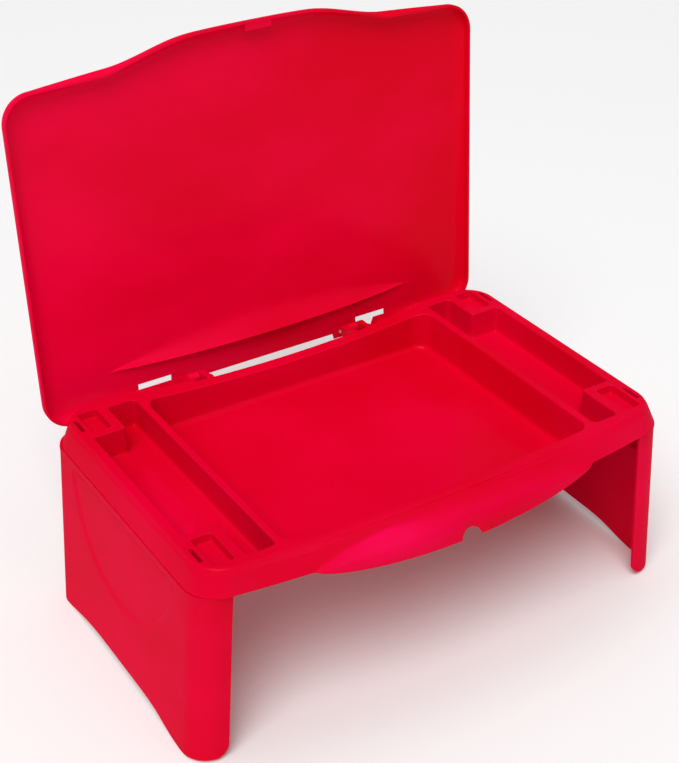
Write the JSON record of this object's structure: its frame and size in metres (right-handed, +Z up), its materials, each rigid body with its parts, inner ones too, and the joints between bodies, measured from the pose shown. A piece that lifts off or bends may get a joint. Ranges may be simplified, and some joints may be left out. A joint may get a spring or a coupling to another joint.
{
  "type": "lap desk",
  "caption": "Moulded lap desk: a shallow tray with a centre well and side pen trays, a hinged lid that is the work surface, and a folding leg panel at each side.",
  "frame": {"origin": "on the floor, under the middle of the bounding box, with the legs down and the lid open", "axes": "+X to the user's right, +Y from the user toward the hinge side, +Z up"},
  "size_m": [0.455, 0.3239, 0.4538],
  "materials": {
    "tray_plastic": "satin moulded red plastic",
    "lid_plastic": "satin moulded red plastic",
    "leg_plastic": "satin moulded red plastic",
    "pin_steel": "plain drawn wire"
  },
  "bodies": {
    "tray": {"tray": "tray_plastic", "lid_hinge_pin_left": "pin_steel", "lid_hinge_pin_right": "pin_steel", "leg_pin_front_left": "pin_steel", "leg_pin_rear_left": "pin_steel", "leg_pin_front_right": "pin_steel", "leg_pin_rear_right": "pin_steel"},
    "lid": {"lid": "lid_plastic"},
    "left_leg": {"left_leg": "leg_plastic"},
    "right_leg": {"right_leg": "leg_plastic"}
  },
  "joints": [
    {"name": "lid_hinge", "type": "hinge", "parent": "tray", "child": "lid", "pos_m": [0, 0.12903, 0.1595], "axis": [1, 0, 0], "range_deg": [0, 93.2]},
    {"name": "left_leg_fold", "type": "hinge", "parent": "tray", "child": "left_leg", "pos_m": [-0.186, 0, 0.138], "axis": [0, -1, 0], "range_deg": [0, 93]},
    {"name": "right_leg_fold", "type": "hinge", "parent": "tray", "child": "right_leg", "pos_m": [0.186, 0, 0.138], "axis": [0, 1, 0], "range_deg": [0, 93]}
  ]
}
